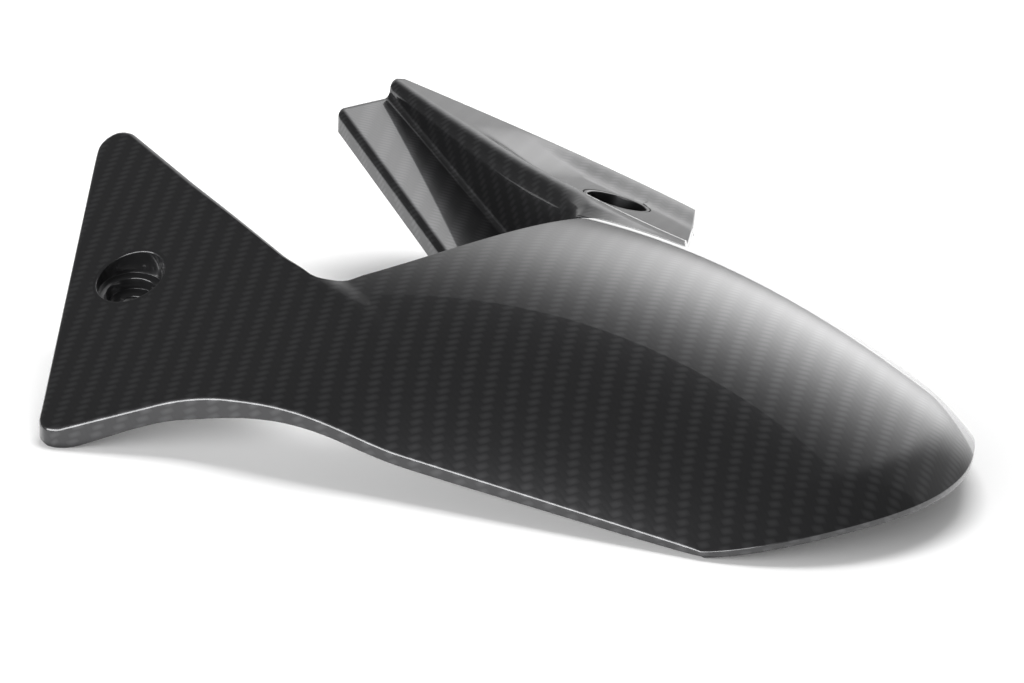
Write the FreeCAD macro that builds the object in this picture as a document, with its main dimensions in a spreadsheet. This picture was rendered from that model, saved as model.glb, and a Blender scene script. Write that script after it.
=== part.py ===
# Rear fender for a motorcycle: one moulded carbon shell, lying on its lower edges.
# Millimetres. +X points to the rear of the bike, +Y to its right, +Z up from the surface it lies on.
# While it is built, x = 0 is at the rear corners and y = 0 is the middle plane of the tyre.
import FreeCAD, Part
import math
import os

Vector = FreeCAD.Vector

doc = FreeCAD.newDocument("RearFender")
sheet = doc.addObject("Spreadsheet::Sheet", "Sizes")

# Driving sizes: alias, value, meaning
sizes = (
    ("wall", 2.0, "laminate thickness"),
    ("lip_depth", 9.0, "depth of the turned-down lips"),
    ("edge_round", 2.5, "outside radius of the folds on the left side"),
    ("crown_radius", 330.0, "side-view radius of the crown, a tyre radius and its clearance"),
    ("crown_height", 62.7, "height of the crown at its top"),
    ("crown_forward", 121.5, "distance of the crown's top ahead of the rear corners"),
    ("rear_half_width", 76.0, "half width over the lower edges at the rear corners"),
    ("rear_fold", 2.5, "height of the left lower fold at the rear corner"),
    ("rear_bulge", 42.0, "how far the rear edge bows out behind its left corner"),
    ("rear_bow_side", 8.0, "distance of that rearmost point left of the middle plane"),
    ("rear_slack", 8.0, "how far the rear edge's arc bulges past the left rear corner"),
    ("rear_turn", 23.0, "turn of that arc past the rearmost point, degrees"),
    ("rear_right_forward", 14.0, "right rear corner"),
    ("rear_right_side", 82.0, "its distance from the middle plane"),
    ("roll_drop", 5.0, "how far the rear edge is rolled down"),
    ("roll_width", 13.0, "width of the rolled edge"),
    ("plate_forward", 159.0, "where the left lower edge meets the plate"),
    ("plate_half_width", 115.6, "distance of that point from the middle plane"),
    ("plate_fold", 21.0, "height of the left lower fold there"),
    ("plate_tilt", 31.0, "sideways slope of the plate, degrees"),
    ("plate_fall", 3.5, "rearward slope of the plate, degrees"),
    ("plate_fade", 62.0, "length over which the plate runs out into the arch"),
    ("apex_forward", 296.0, "sharp front apex of the plate"),
    ("apex_side", 32.6, "its distance from the middle plane"),
    ("apex_round", 7.5, "plan radius of the apex"),
    ("corner_forward", 208.5, "sharp outer corner of the plate"),
    ("corner_side", 148.3, "its distance from the middle plane"),
    ("corner_round", 8.0, "plan radius of that corner"),
    ("waist_forward", 169.0, "waist between the plate and the lower edge"),
    ("waist_side", 118.2, "its distance from the middle plane"),
    ("waist_round", 60.0, "plan radius of the waist"),
    ("waist_lip", 4.8, "lip depth where the lower edge meets the plate"),
    ("step_forward", 116.0, "where the plate's inner edge dies out on the arch"),
    ("step_side", 78.6, "its distance from the middle plane"),
    ("step_width", 10.0, "width of the step from the plate down to the arch"),
    ("notch_forward", 167.0, "where the plate's inner edge turns into the front edge"),
    ("notch_round", 14.0, "plan radius of the notch"),
    ("notch_turn", 80.0, "turn of the notch, degrees"),
    ("front_forward", 124.0, "front edge at its rearmost point"),
    ("front_side", 8.0, "its distance right of the middle plane"),
    ("front_end_forward", 142.0, "right end of the front edge"),
    ("front_end_side", 75.0, "its distance from the middle plane"),
    ("skirt_forward", 125.0, "front corner of the right-hand skirt"),
    ("skirt_side", 126.0, "its distance from the middle plane"),
    ("arm_forward", 281.0, "front end of the right arm"),
    ("crest_side", 108.5, "ridge crest at the arm's front end"),
    ("crest_height", 70.9, "its height there"),
    ("crest_toe", 16.6, "plan angle of the crest, degrees"),
    ("crest_fall", 0.215, "slope of the crest at the front end"),
    ("crest_sweep", 0.00058, "upward curve of the crest, per millimetre"),
    ("crest_round", 4.0, "outside radius of the crest"),
    ("ridge_width", 12.0, "width of the ridge top at the front end"),
    ("flange_side", 131.0, "outer edge of the ridge top at its rear corner"),
    ("flange_forward", 146.0, "that rear corner"),
    ("flange_bow", 16.0, "outward bow of the ridge top's outer edge"),
    ("flange_tilt", 0.2, "outward slope of the ridge top"),
    ("tail_forward", 97.0, "where the ridge runs out on the arch"),
    ("tail_side", 51.0, "its distance from the middle plane"),
    ("step_height", 8.0, "drop from the crest to the shelf at the front end"),
    ("shelf_fall", 0.455, "slope of the shelf"),
    ("shelf_width", 29.0, "width of the shelf at the front end"),
    ("shelf_spread", 0.07, "how fast the shelf widens to the rear"),
    ("shelf_forward", 187.0, "rear end of the shelf"),
    ("shelf_round", 3.5, "outside radius of the shelf's inner fold"),
    ("web_forward", 150.0, "where the step wall has narrowed to a lip"),
    ("well_radius", 12.0, "bolt well, at the mouth"),
    ("well_depth", 7.0, "depth of that bore"),
    ("seat_radius", 8.5, "bolt-head seat"),
    ("seat_depth", 11.5, "depth of the seat below the surface"),
    ("floor_depth", 14.0, "depth of the well's underside"),
    ("bore_radius", 4.25, "through hole for the bolt"),
    ("left_hole_forward", 226.0, "left bolt hole"),
    ("left_hole_side", 88.9, "its distance from the middle plane"),
    ("left_hole_back", 11.3, "rearward lean of the left bolt, degrees"),
    ("left_hole_out", 16.7, "outward lean of the left bolt, degrees"),
    ("right_hole_forward", 166.0, "right bolt hole"),
    ("right_hole_side", 107.0, "its distance from the middle plane"),
)
for row, (alias, value, meaning) in enumerate(sizes, start=1):
    sheet.set("A%d" % row, meaning)
    sheet.set("B%d" % row, str(value))
    sheet.setAlias("B%d" % row, alias)
doc.recompute()


class Values:
    pass


v = Values()
for alias, value, meaning in sizes:
    setattr(v, alias, float(sheet.get(alias)))

# Construction allowances, not sizes of the part
ABOVE = 2.0 * v.crown_height
BELOW = v.lip_depth + v.plate_fold
MARGIN = 22.0
GRID_ALONG = 9.5
GRID_ACROSS = 10.7
OVERRUN = 40.0


def smooth(start, end, value):
    """Ease from 0 at start to 1 at end."""
    share = min(1.0, max(0.0, (value - start) / (end - start)))
    return share * share * (3.0 - 2.0 * share)


def crown(x):
    """Height of the crown line, an arc about the wheel's axle."""
    return v.crown_height - v.crown_radius + math.sqrt(v.crown_radius ** 2 - (x + v.crown_forward) ** 2)


def along_edge(x, rear, plate):
    """Value on the straight line from the rear corner to the plate."""
    return rear + (plate - rear) * -x / v.plate_forward


def half_width(x):
    return along_edge(x, v.rear_half_width, v.plate_half_width)


def arch_radius(x):
    """Radius of the cross-section through the crown and the left lower fold."""
    x = max(x, -v.plate_forward)
    rise = crown(x) - along_edge(x, v.rear_fold, v.plate_fold)
    return (half_width(x) ** 2 + rise ** 2) / (2.0 * rise)


def arch(x, y):
    radius = arch_radius(x)
    return crown(x) - radius + math.sqrt(radius ** 2 - y ** 2)


def plate(x, y):
    """Plane of the left mounting plate."""
    sideways = math.tan(math.radians(v.plate_tilt)) * (y + v.plate_half_width)
    return v.plate_fold + sideways - math.tan(math.radians(v.plate_fall)) * (x + v.plate_forward)


# The plate's inner edge runs straight from the apex until it dies out on the arch
inner_edge = Vector(v.apex_forward - v.step_forward, v.apex_side - v.step_side, 0)
inner_edge.normalize()


def beside_plate(x, y):
    """The arch, carried on ahead of the notch along the plate's inner edge."""
    station = max(x, -v.notch_forward)
    side = max(-v.plate_half_width, y + (station - x) * inner_edge.y / inner_edge.x)
    return arch(station, side) + plate(x, y) - plate(station, side)


# The rear edge is an arc about this point
rear_radius = v.rear_half_width - v.rear_bow_side + v.rear_slack
rear_centre = Vector(v.rear_bulge - rear_radius, -v.rear_bow_side, 0)


def roll(x, y):
    """Drop of the rolled rear edge, dying out towards the rear corners."""
    inside = rear_radius - math.hypot(x - rear_centre.x, y - rear_centre.y)
    share = min(1.5, max(0.0, 1.0 - inside / v.roll_width))
    at_rear = smooth(rear_centre.x, 0.0, x) * max(0.0, 1.0 - (y / v.rear_half_width) ** 2)
    return v.roll_drop * share ** 2 * at_rear


def skin(x, y):
    """Upper surface: the arch, raised to the plate outside the plate's inner edge."""
    outside = (x + v.apex_forward) * inner_edge.y - (y + v.apex_side) * inner_edge.x
    on_plate = smooth(-v.edge_round - v.step_width, -v.edge_round, outside)
    fade_start = -v.plate_forward
    on_plate *= smooth(fade_start + v.plate_fade, fade_start, x)
    return beside_plate(x, y) * (1.0 - on_plate) + plate(x, y) * on_plate - roll(x, y)


def surface(depth):
    """Smooth face through points of the skin, each moved square to it by the depth."""
    front = -v.apex_forward - v.wall
    rear = v.rear_bulge + v.wall
    steps_along = round((rear - front) / GRID_ALONG)
    steps_across = round(2.0 * (half_width(front) + MARGIN) / GRID_ACROSS)
    rows = []
    for i in range(steps_along + 1):
        x = front + (rear - front) * i / steps_along
        # The rows reach past the outline, least at the rear where the section is narrow
        reach = half_width(x) + MARGIN * (0.25 + 0.75 * min(1.0, max(0.0, -x / v.plate_forward)))
        row = []
        for j in range(steps_across + 1):
            y = -reach + 2.0 * reach * j / steps_across
            slope_x = (skin(x + 0.5, y) - skin(x - 0.5, y))
            slope_y = (skin(x, y + 0.5) - skin(x, y - 0.5))
            square = Vector(-slope_x, -slope_y, 1.0).normalize()
            row.append(Vector(x, y, skin(x, y)) - square * depth)
        rows.append(row)
    spline = Part.BSplineSurface()
    spline.interpolate(rows)
    return spline.toShape()


def inset_corner(before, corner, after, inset):
    """The corner of two lines, each moved to its right by the inset."""
    moved = []
    for start, end in ((before, corner), (corner, after)):
        run = (end - start).normalize()
        side = Vector(run.y, -run.x, 0) * inset
        moved.append((start + side, run))
    (p, r), (q, s) = moved
    cross = r.x * s.y - r.y * s.x
    gap = q - p
    return p + r * ((gap.x * s.y - gap.y * s.x) / cross)


def rounded(before, corner, after, radius):
    """Start, middle and end of the arc that rounds a corner."""
    back = (before - corner).normalize()
    on = (after - corner).normalize()
    half = back.getAngle(on) / 2.0
    run = radius / math.tan(half)
    bisector = (back + on).normalize()
    middle = corner + bisector * (radius / math.sin(half) - radius)
    return corner + back * run, middle, corner + on * run


def lines(points):
    """Straight edges from point to point."""
    return [Part.LineSegment(start, end).toShape() for start, end in zip(points, points[1:])]


def path(points, radii):
    """Edges along points, with the inner corners rounded."""
    edges = []
    last = points[0]
    for before, corner, after, radius in zip(points, points[1:], points[2:], radii):
        start, middle, end = rounded(before, corner, after, radius)
        edges.append(Part.LineSegment(last, start).toShape())
        edges.append(Part.Arc(start, middle, end).toShape())
        last = end
    edges.append(Part.LineSegment(last, points[-1]).toShape())
    return edges


def on_rear(turn):
    """Point of the rear arc, turned from its rearmost point towards the right."""
    return rear_centre + Vector(math.cos(turn), math.sin(turn), 0) * rear_radius


left_turn = math.asin((v.rear_bow_side - v.rear_half_width) / rear_radius)
right_turn = math.radians(v.rear_turn)
rear_left = on_rear(left_turn)
rear_join = on_rear(right_turn)
rear_right = Vector(-v.rear_right_forward, v.rear_right_side, 0)
waist = Vector(-v.waist_forward, -v.waist_side, 0)
corner = Vector(-v.corner_forward, -v.corner_side, 0)
apex = Vector(-v.apex_forward, -v.apex_side, 0)
notch = apex + inner_edge * ((v.apex_forward - v.notch_forward) / inner_edge.x)


def prism(edges):
    """Upright prism on a closed plan outline."""
    face = Part.Face(Part.Wire(Part.__sortEdges__(edges)))
    face.translate(Vector(0, 0, -BELOW))
    return face.extrude(Vector(0, 0, BELOW + ABOVE))


def outline_prism(lips):
    """Plan outline of the arch and the plate."""
    centre = notch + Vector(-inner_edge.y, inner_edge.x, 0) * v.notch_round
    heading = math.atan2(inner_edge.y, inner_edge.x)

    def on_notch(turn):
        angle = heading + math.radians(turn)
        return centre + Vector(math.sin(angle), -math.cos(angle), 0) * v.notch_round

    front_start = on_notch(v.notch_turn)
    front_middle = Vector(-v.front_forward, v.front_side, 0)
    front_end = Vector(-v.front_end_forward, v.front_end_side, 0)
    skirt = Vector(-v.skirt_forward, v.skirt_side, 0)
    # The second rear arc leaves the first one smoothly
    chord = rear_right - rear_join
    bend = math.atan2(chord.y, chord.x) - right_turn - math.pi / 2.0
    rear_bend = rear_join + chord / 2.0 + Vector(chord.y, -chord.x, 0) * math.tan(bend / 2.0) / 2.0
    return prism(lips + [
        Part.Arc(notch, on_notch(v.notch_turn / 2.0), front_start).toShape(),
        Part.Arc(front_start, front_middle, front_end).toShape(),
        Part.LineSegment(front_end, skirt).toShape(),
        Part.LineSegment(skirt, rear_right).toShape(),
        Part.Arc(rear_right, rear_bend, rear_join).toShape(),
        Part.Arc(rear_join, on_rear(0.0), rear_left).toShape(),
    ])


def hollow_prism():
    """Plan of the space inside the lips, open at the front, right and rear edges."""
    beyond = rear_left + (rear_left - waist).normalize() * 2.0 * OVERRUN
    start = inset_corner(beyond + Vector(0, 1, 0), beyond, waist, v.wall)
    inner = [
        start,
        inset_corner(beyond, waist, corner, v.wall),
        inset_corner(waist, corner, apex, v.wall),
        inset_corner(corner, apex, notch, v.wall),
        notch - Vector(-inner_edge.y, inner_edge.x, 0) * v.wall,
    ]
    inner_radii = [v.waist_round + v.wall, v.corner_round - v.wall, v.apex_round - v.wall]
    front = -v.plate_forward
    right = v.flange_side + OVERRUN
    behind = [
        Vector(front, 0, 0),
        Vector(front, right, 0),
        Vector(start.x, right, 0),
        start,
    ]
    return prism(path(inner, inner_radii) + lines([inner[-1]] + behind))


def keep(name, shape):
    """Document object for a shape that no standard feature makes."""
    feature = doc.addObject("Part::Feature", name)
    feature.Shape = shape
    return feature


# The arch and the plate: a solid under the skin, folded edges rounded, hollowed inside the lips
lips = path([rear_left, waist, corner, apex, notch], [v.waist_round, v.corner_round, v.apex_round])
lip_line = Part.Wire(lips)
block = surface(0.0).extrude(Vector(0, 0, -v.lip_depth)).common(outline_prism(lips))
folds = []
for edge in block.Edges:
    middle = edge.valueAt((edge.FirstParameter + edge.LastParameter) / 2.0)
    plan = Part.Vertex(middle.x, middle.y, 0)
    on_skin = abs(middle.z - skin(middle.x, middle.y)) < v.wall
    if on_skin and lip_line.distToShape(plan)[0] < 0.05:
        folds.append(edge)
print("folds", len(folds))
shell_block = keep("ShellBlock", block.makeFillet(v.edge_round, folds))
inside = surface(v.wall).extrude(Vector(0, 0, -BELOW)).common(hollow_prism())
shell_hollow = keep("ShellHollow", inside)

# The lip of the lower edge thins towards the rear corner
under = [
    Vector(-v.corner_forward + v.corner_round, 0, -BELOW),
    Vector(-v.corner_forward + v.corner_round / 2.0, 0, 0),
    Vector(-v.waist_forward, 0, plate(waist.x, waist.y) - v.waist_lip),
    Vector(-v.plate_forward, 0, v.plate_fold - v.waist_lip),
    Vector(rear_left.x, 0, 0),
    Vector(rear_left.x, 0, -BELOW),
]
taper = Part.Face(Part.makePolygon(under + under[:1])).extrude(Vector(0, -2.0 * v.plate_half_width, 0))
lip_taper = keep("LipTaper", taper)


# The right arm: a folded band, outer lip, ridge top, step wall, shelf and inner lip
def crest(x):
    """Side position and height of the ridge crest."""
    run = x + v.arm_forward
    side = v.crest_side - math.tan(math.radians(v.crest_toe)) * run
    return side, v.crest_height - v.crest_fall * run + v.crest_sweep * run ** 2


def ridge_edge(x):
    """Outer edge of the ridge top, bowed between its two corners."""
    share = (x + v.arm_forward) / (v.arm_forward - v.flange_forward)
    front = v.crest_side + v.ridge_width
    return front + (v.flange_side - front) * share + 4.0 * v.flange_bow * share * (1.0 - share)


def ridge_top(x, y):
    side, height = crest(x)
    return height - v.flange_tilt * (y - side)


def shelf(x):
    """Height of the shelf."""
    return v.crest_height - v.step_height - v.shelf_fall * (x + v.arm_forward)


def ridge_section(x):
    """Outer lip, ridge top and step wall, from the outside in."""
    side, height = crest(x)
    outer = ridge_edge(x)
    top = ridge_top(x, outer)
    lip = height - v.lip_depth
    narrowed = smooth(-v.shelf_forward, -v.web_forward, x)
    foot = shelf(x) * (1.0 - narrowed) + lip * narrowed
    return [Vector(x, outer, top - v.lip_depth), Vector(x, outer, top), Vector(x, side, height),
            Vector(x, side, foot)]


def arm_section(x):
    """The ridge's section, carried on by the shelf and the inner lip."""
    points = ridge_section(x)
    fold = points[-1] - Vector(0, v.shelf_width + v.shelf_spread * (x + v.arm_forward), 0)
    return points + [fold, fold - Vector(0, 0, v.lip_depth)]


def one_wall_in(points):
    """The same path one wall further in, with plain corners."""
    inner = [points[0] - Vector(0, v.wall, 0)]
    for before, corner, after in zip(points, points[1:], points[2:]):
        run = (corner - before).normalize()
        on = (after - corner).normalize()
        square = Vector(0, -run.z, run.y) + Vector(0, -on.z, on.y)
        inner.append(corner + square * (v.wall / (1.0 + run.dot(on))))
    inner.append(points[-1] + Vector(0, v.wall, 0))
    return inner


def closed(edges):
    """Closed wire of the edges."""
    return Part.Wire(Part.__sortEdges__(edges))


def band_wire(points, radii):
    """Section of a folded sheet."""
    inner = one_wall_in(points)
    return closed(path(points, radii) + lines([points[0]] + inner + [points[-1]]))


def full_wire(points, radii):
    """Section filled from the outside of the sheet down to its lips."""
    return closed(path(points, radii) + lines([points[-1], points[0]]))


def cavity_wire(points):
    """Section of the space under the sheet, carried on below its lips."""
    inner = one_wall_in(points)
    inner[0] = inner[0] - Vector(0, 0, v.lip_depth)
    inner[-1] = inner[-1] - Vector(0, 0, v.lip_depth)
    return closed(lines(inner + inner[:1]))


ridge_radii = [v.edge_round, v.crest_round]
arm_radii = ridge_radii + [v.edge_round, v.shelf_round]
arm_middle = (v.arm_forward + v.shelf_forward) / 2.0
arm_stations = [-v.arm_forward, -arm_middle, -v.shelf_forward]
arm = keep("ArmBand", Part.makeLoft([band_wire(arm_section(x), arm_radii) for x in arm_stations], True))

tail_end = -v.tail_forward + v.wall
tail_middle = (v.web_forward + v.tail_forward) / 2.0
ridge_stations = [-v.shelf_forward, -v.web_forward, -tail_middle, tail_end]
ridge_solid = Part.makeLoft([full_wire(ridge_section(x), ridge_radii) for x in ridge_stations], True)
ridge_cavity = Part.makeLoft([cavity_wire(ridge_section(x)) for x in ridge_stations], True)

# The ridge ends on a slanting line, closed there by a lip
flange_corner = Vector(-v.flange_forward, v.flange_side, 0)
tail = Vector(-v.tail_forward, v.tail_side, 0)
slant = (tail - flange_corner).normalize()
ahead = Vector(slant.y, -slant.x, 0)


def ahead_of_slant(start):
    """Everything ahead of the slanting line moved forward by the start."""
    begin = flange_corner - slant * OVERRUN + ahead * start
    end = tail + slant * OVERRUN + ahead * start
    reach = ahead * 2.0 * v.arm_forward
    corners = [begin, end, end + reach, begin + reach, begin]
    return prism(lines(corners))


ridge = ridge_solid.common(ahead_of_slant(0.0)).cut(ridge_cavity.common(ahead_of_slant(v.wall)))
ridge_tray = keep("RidgeTray", ridge)

# Bolt wells: a cup under the surface, bored in two steps down to the through hole
left_lean = Vector(math.tan(math.radians(v.left_hole_back)), -math.tan(math.radians(v.left_hole_out)), 1.0)
left_spot = Vector(-v.left_hole_forward, -v.left_hole_side, 0)
left_spot.z = plate(left_spot.x, left_spot.y)

right_spot = Vector(-v.right_hole_forward, v.right_hole_side, 0)
right_spot.z = ridge_top(right_spot.x, right_spot.y)
ridge_slope = ridge_top(right_spot.x + 0.5, right_spot.y) - ridge_top(right_spot.x - 0.5, right_spot.y)
ridge_square = Vector(-ridge_slope, v.flange_tilt, 1.0)


def cylinder(name, spot, square, start, radius, height):
    """Cylinder going down a hole's axis from a start depth below the surface."""
    axis = Vector(square).normalize()
    feature = doc.addObject("Part::Cylinder", name)
    feature.Placement = FreeCAD.Placement(spot - axis * start, FreeCAD.Rotation(Vector(0, 0, 1), -axis))
    feature.setExpression("Radius", radius)
    feature.setExpression("Height", height)
    return feature


cups = []
bores = []
bored = (
    ("Well", "Sizes.well_radius", "Sizes.lip_depth + Sizes.well_depth"),
    ("Seat", "Sizes.seat_radius", "Sizes.lip_depth + Sizes.seat_depth"),
    ("Bore", "Sizes.bore_radius", "Sizes.lip_depth + Sizes.floor_depth + Sizes.wall"),
)
for side, spot, square in (("Left", left_spot, left_lean), ("Right", right_spot, ridge_square)):
    cups.append(cylinder(side + "Cup", spot, square, v.wall / 2.0,
                         "Sizes.well_radius + Sizes.wall", "Sizes.floor_depth - Sizes.wall / 2"))
    for name, radius, height in bored:
        bores.append(cylinder(side + name, spot, square, -v.lip_depth, radius, height))
# The left bolt leans across its plate, so its cup starts above the plate and ends inside the laminate
axis = Vector(left_lean).normalize()
cups[0].Placement.Base = left_spot + axis * v.lip_depth
cups[0].setExpression("Height", "Sizes.lip_depth + Sizes.floor_depth")
above_skin = keep("AboveSkin", surface(v.wall / 2.0).extrude(Vector(0, 0, ABOVE)))

# Everything below the surface it lies on is trimmed away
floor = doc.addObject("Part::Box", "Floor")
floor.setExpression("Length", "4 * Sizes.apex_forward")
floor.setExpression("Width", "4 * Sizes.apex_forward")
floor.setExpression("Height", "2 * Sizes.crown_height")
floor.Placement.Base = Vector(-2.0 * v.apex_forward, -2.0 * v.apex_forward, -2.0 * v.crown_height)


def combine(kind, name, shapes):
    """Union of several features, or the first with the others cut away."""
    if kind == "fuse":
        result = doc.addObject("Part::MultiFuse", name)
        result.Shapes = shapes
    else:
        result = doc.addObject("Part::Cut", name)
        result.Base, result.Tool = shapes
    doc.recompute()
    print(name, result.Shape.isValid(), len(result.Shape.Solids), round(result.Shape.Volume))
    return result


shell = combine("cut", "Shell", [shell_block, combine("fuse", "ShellTools", [shell_hollow, lip_taper])])
left_cup = combine("cut", "LeftCupTrim", [cups[0], above_skin])
left_side = combine("fuse", "LeftSide", [shell, left_cup])
right_side = combine("fuse", "RightSide", [combine("fuse", "RightArm", [ridge_tray, arm]), cups[1]])
moulding = combine("fuse", "Moulding", [left_side, right_side])
fender = combine("cut", "rear_fender", [moulding, combine("fuse", "Openings", bores + [floor])])

# The origin goes to the middle of the bounding box, on the surface it lies on
bounds = fender.Shape.optimalBoundingBox(False)
fender.Placement.Base = Vector(-bounds.Center.x, -bounds.Center.y, -bounds.ZMin)
doc.recompute()

for feature in doc.Objects:
    if "Invalid" in feature.State or "Error" in feature.State:
        raise RuntimeError("%s did not build" % feature.Label)
    if hasattr(feature, "Shape") and (feature.Shape.isNull() or not feature.Shape.isValid()):
        raise RuntimeError("%s has a bad shape" % feature.Label)
if len(fender.Shape.Solids) != 1:
    raise RuntimeError("the fender is not one solid")

os.makedirs("parts", exist_ok=True)
fender.Shape.Solids[0].exportStep("parts/rear_fender.step")
print("volume", round(fender.Shape.Volume), fender.Shape.optimalBoundingBox(False), "moved", fender.Placement.Base)
for spot, square in ((left_spot, left_lean), (right_spot, ridge_square)):
    axis = Vector(square).normalize()
    print("hole", spot + fender.Placement.Base, axis)
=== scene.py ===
import bmesh
import bpy
import numpy as np
from mathutils import Matrix, Vector


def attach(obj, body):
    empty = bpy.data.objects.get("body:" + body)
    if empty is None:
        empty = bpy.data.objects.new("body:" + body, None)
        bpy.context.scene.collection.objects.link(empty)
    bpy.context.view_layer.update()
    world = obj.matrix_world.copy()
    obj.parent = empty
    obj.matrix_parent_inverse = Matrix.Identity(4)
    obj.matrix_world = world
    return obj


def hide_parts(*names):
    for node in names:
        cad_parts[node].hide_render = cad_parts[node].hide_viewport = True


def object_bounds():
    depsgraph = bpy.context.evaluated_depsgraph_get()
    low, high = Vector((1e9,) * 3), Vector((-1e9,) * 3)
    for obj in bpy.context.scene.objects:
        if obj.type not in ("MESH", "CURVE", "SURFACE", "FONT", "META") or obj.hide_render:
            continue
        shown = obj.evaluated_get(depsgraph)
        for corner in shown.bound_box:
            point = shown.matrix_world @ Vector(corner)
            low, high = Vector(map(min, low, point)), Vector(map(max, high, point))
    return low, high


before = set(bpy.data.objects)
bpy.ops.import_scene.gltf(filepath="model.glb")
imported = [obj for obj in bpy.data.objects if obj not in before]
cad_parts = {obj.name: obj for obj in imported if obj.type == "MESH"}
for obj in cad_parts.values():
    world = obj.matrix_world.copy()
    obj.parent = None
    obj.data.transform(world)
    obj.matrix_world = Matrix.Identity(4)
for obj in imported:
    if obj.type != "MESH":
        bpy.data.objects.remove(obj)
cadLow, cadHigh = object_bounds()

perMetre = 1000.0
mergeAt = 1e-6  # metres: grid points closer than this become one

# millimetres here; x runs to the rear, y to the right, z up from the surface the part lies on
fender = {
    "wall": 2.0, "lipDepth": 9.0, "foldRadius": 2.5, "edgeRadius": 0.8, "sideShift": 1.48,
    "crownRadius": 330.0, "crownHeight": 62.7, "crownX": -121.5,
    "rearHalfWidth": 76.0, "rearFold": 2.5,
    "plateX": -159.0, "plateHalfWidth": 115.6, "plateFold": 21.0,
    "plateTilt": 31.0, "plateFall": 3.5, "plateFade": 62.0,
    "apex": (-296.0, -32.6), "apexRound": 7.5, "corner": (-208.5, -148.3), "cornerRound": 8.0,
    "waist": (-169.0, -118.2), "waistRound": 60.0, "stepEnd": (-116.0, -78.6),
    "stepRun": (-235.0, -168.0, -105.0), "stepWidth": (9.0, 11.0, 4.0), "stepStart": (0.0, 2.6, 1.0),
    "notchX": -167.0, "notchRound": 14.0, "notchTurn": 80.0,
    "frontMiddle": (-124.0, 8.0), "frontEnd": (-142.0, 75.0), "skirt": (-125.0, 126.0),
    "rearBulge": 42.0, "rearBowY": -8.0, "rearRound": 76.0, "rearTurn": 23.0, "rearRight": (-14.0, 82.0),
    "rollDrop": 5.0, "rollWidth": 13.0, "rollLimit": 1.5,
    "lowSideX": (-260.0, -150.0, 0.0), "lowSideY": (-100.0, -95.0, -70.0),
    "lipAt": (-208, -195, -183, -174, -166, -156, -142, -123, -80, -20, 0),
    "lipHeight": (8.7, 7.6, 6.6, 6.8, 7.4, 6.5, 5.0, 3.9, 3.5, 2.4, 1.8),
}
# where x = 0, y = 0 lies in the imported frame
origin = np.array([cadHigh.x * perMetre - fender["rearBulge"], fender["sideShift"], 0.0])


def ease(start, end, value):  # 0 at start, 1 at end, smooth between
    share = np.clip((value - start) / (end - start), 0, 1)
    return share * share * (3 - 2 * share)


def unit(v):  # vectors divided by their lengths
    return v / np.linalg.norm(v, axis=-1, keepdims=True)


def slope(degrees):  # rise for each millimetre of run
    return np.tan(np.radians(degrees))


innerEdge = unit(np.array(fender["stepEnd"]) - np.array(fender["apex"]))
rearCentre = np.array([fender["rearBulge"] - fender["rearRound"], fender["rearBowY"]])


def crownLine(x):  # arc about the axle
    r = fender["crownRadius"]
    return fender["crownHeight"] - r + np.sqrt(r ** 2 - (x - fender["crownX"]) ** 2)


def sectionRadius(x):  # circle through the crown and the left lower fold
    x = np.maximum(x, fender["plateX"])
    share = x / fender["plateX"]
    half = fender["rearHalfWidth"] + (fender["plateHalfWidth"] - fender["rearHalfWidth"]) * share
    rise = crownLine(x) - fender["rearFold"] - (fender["plateFold"] - fender["rearFold"]) * share
    return (half ** 2 + rise ** 2) / (2 * rise)


def archHeight(x, y):  # crown less the fall of the section circle at y
    r = sectionRadius(x)
    return crownLine(x) - r + np.sqrt(np.maximum(r ** 2 - y ** 2, 0))


def plateHeight(x, y):  # plane, falling outwards and a little to the rear
    side = slope(fender["plateTilt"]) * (y + fender["plateHalfWidth"])
    return fender["plateFold"] + side - slope(fender["plateFall"]) * (x - fender["plateX"])


def plateShare(x, y):  # 1 on the plate, easing to 0 across the step and along the run-out
    apex = fender["apex"]
    outside = (x - apex[0]) * innerEdge[1] - (y - apex[1]) * innerEdge[0]
    start = np.interp(x, fender["stepRun"], fender["stepStart"])
    step = ease(start - np.interp(x, fender["stepRun"], fender["stepWidth"]), start, outside)
    return step * ease(fender["plateX"] + fender["plateFade"], fender["plateX"], x)


def rollDrop(x, y):  # the rear edge rolls down, least at the rear corners
    inside = fender["rearRound"] - np.hypot(x - rearCentre[0], y - rearCentre[1])
    share = np.clip(1 - inside / fender["rollWidth"], 0, fender["rollLimit"])
    atRear = ease(rearCentre[0], 0, x) * np.maximum(0, 1 - (y / fender["rearHalfWidth"]) ** 2)
    return fender["rollDrop"] * share ** 2 * atRear


def skinHeight(x, y):
    # arch raised to the plate, less the roll; ahead of the notch the arch carries on along the inner edge
    station = np.maximum(x, fender["notchX"])
    side = np.maximum(-fender["plateHalfWidth"], y + (station - x) * innerEdge[1] / innerEdge[0])
    arch = archHeight(station, side) + plateHeight(x, y) - plateHeight(station, side)
    share = plateShare(x, y)
    return arch * (1 - share) + plateHeight(x, y) * share - rollDrop(x, y)


def skinNormal(x, y, h=0.4):  # upward, from the differences in height h to either side
    dx = (skinHeight(x + h, y) - skinHeight(x - h, y)) / (2 * h)
    dy = (skinHeight(x, y + h) - skinHeight(x, y - h)) / (2 * h)
    return unit(np.stack([-dx, -dy, np.ones_like(dx)], -1))


def underside(x, y):  # one wall below the skin, measured square to it, cut off at the floor
    return np.maximum(skinHeight(x, y) - fender["wall"] / skinNormal(x, y)[..., 2], 0)


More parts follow.
